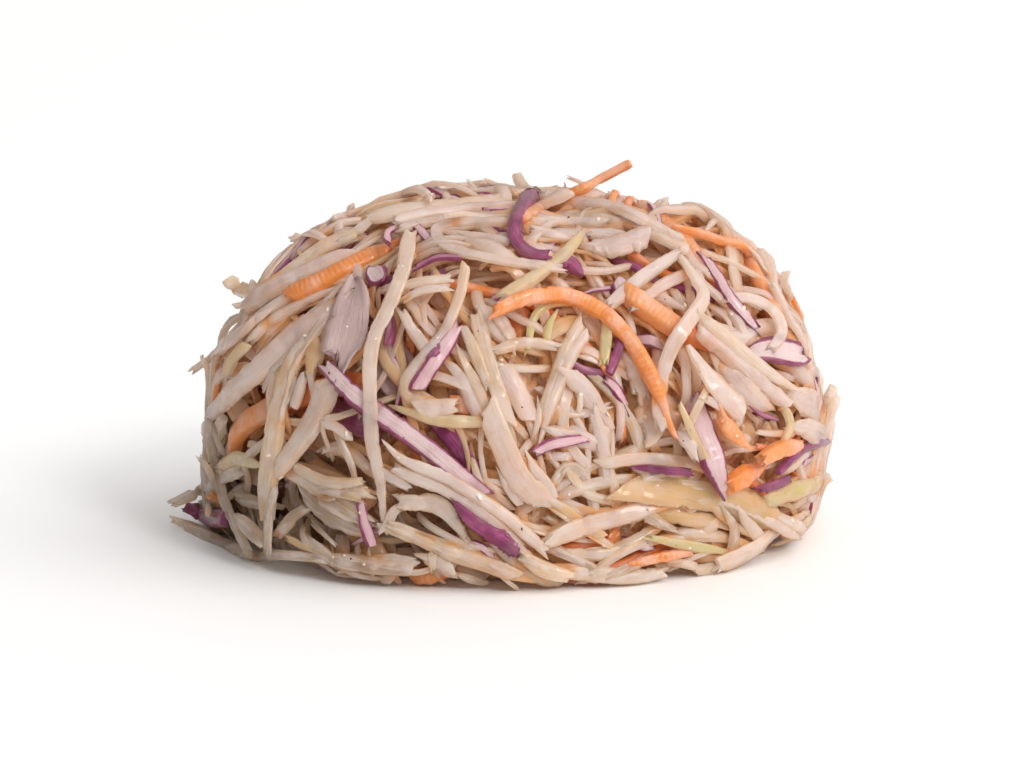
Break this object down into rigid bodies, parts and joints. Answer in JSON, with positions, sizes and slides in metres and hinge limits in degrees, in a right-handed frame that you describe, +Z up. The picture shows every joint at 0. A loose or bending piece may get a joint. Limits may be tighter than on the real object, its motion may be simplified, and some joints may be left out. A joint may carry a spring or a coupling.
{
  "type": "coleslaw",
  "caption": "Free-standing heap of coleslaw: long shreds of white cabbage, red cabbage and carrot in a thin creamy dressing, piled into a rounded mound.",
  "frame": {"origin": "centre of the heap's box, on the surface that it stands on", "axes": "+X along the heap's longest extent, to the right of the front side; +Y to the back; +Z up"},
  "size_m": [0.1112, 0.1, 0.0633],
  "materials": {
    "white_cabbage": "shredded white cabbage, translucent and wet with creamy dressing",
    "yellow_cabbage": "yellow-green inner cabbage shreds, wet with dressing",
    "carrot": "ribbed carrot shreds with a thin coat of dressing",
    "red_cabbage": "red cabbage shreds, pale lilac inside with dark purple edges",
    "dressing": "thin creamy dressing, glossy",
    "pepper": "specks of ground black pepper"
  },
  "bodies": {
    "root": {"coleslaw": "white_cabbage"}
  },
  "joints": []
}
